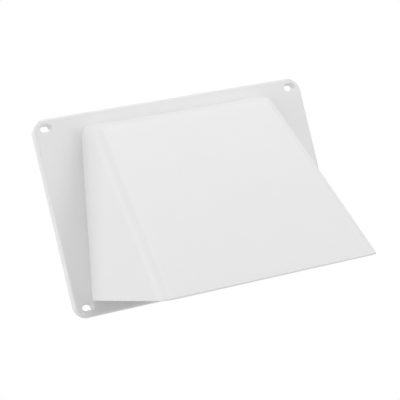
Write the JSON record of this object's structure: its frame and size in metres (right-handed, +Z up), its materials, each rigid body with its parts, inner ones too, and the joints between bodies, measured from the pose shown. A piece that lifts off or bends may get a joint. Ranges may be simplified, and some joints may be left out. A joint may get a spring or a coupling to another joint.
{
  "type": "dryer vent cap",
  "caption": "White plastic wall cap for a dryer exhaust duct: screw-on flange, sloping hood open at the bottom, duct collar behind and a gravity flap inside.",
  "frame": {"origin": "centre of the flange's back, on the wall plane and midway between the four screw slots", "axes": "+Z up the wall, +Y into the wall along the duct, +X across the flange"},
  "size_m": [0.2296, 0.1218, 0.1425],
  "materials": {
    "hood_plastic": "white, fine satin moulding",
    "collar_plastic": "white, satin moulding",
    "flap_plastic": "white, satin moulding",
    "pin_steel": "drawn wire"
  },
  "bodies": {
    "cap": {"hood": "hood_plastic", "duct_collar": "collar_plastic", "hinge_pin": "pin_steel"},
    "flap": {"damper_flap": "flap_plastic"}
  },
  "joints": [
    {"name": "flap_hinge", "type": "hinge", "parent": "cap", "child": "flap", "pos_m": [0, -0.0047, 0.0473], "axis": [-1, 0, 0], "range_deg": [0, 30]}
  ]
}
